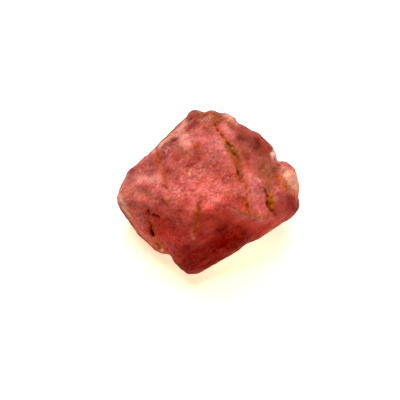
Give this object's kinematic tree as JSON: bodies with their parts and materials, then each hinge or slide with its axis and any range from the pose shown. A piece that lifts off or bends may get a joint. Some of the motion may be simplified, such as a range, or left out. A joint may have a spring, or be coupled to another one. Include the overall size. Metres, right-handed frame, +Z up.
{
  "type": "rough garnet stone",
  "caption": "Rough, uncut pink-red garnet crystal: one broken lump with flat faces, a ledge, small knobs and rusty cracks.",
  "frame": {"origin": "on the resting face, at the bottom centre of the stone's bounding box", "axes": "+X along the stone's length, +Z up, away from the resting face; the broad side faces up and towards -Y"},
  "size_m": [0.0141, 0.0122, 0.0079],
  "materials": {
    "garnet": "etched, half see-through pink-red crystal with rusty cracks"
  },
  "bodies": {
    "root": {"garnet_stone": "garnet"}
  },
  "joints": []
}
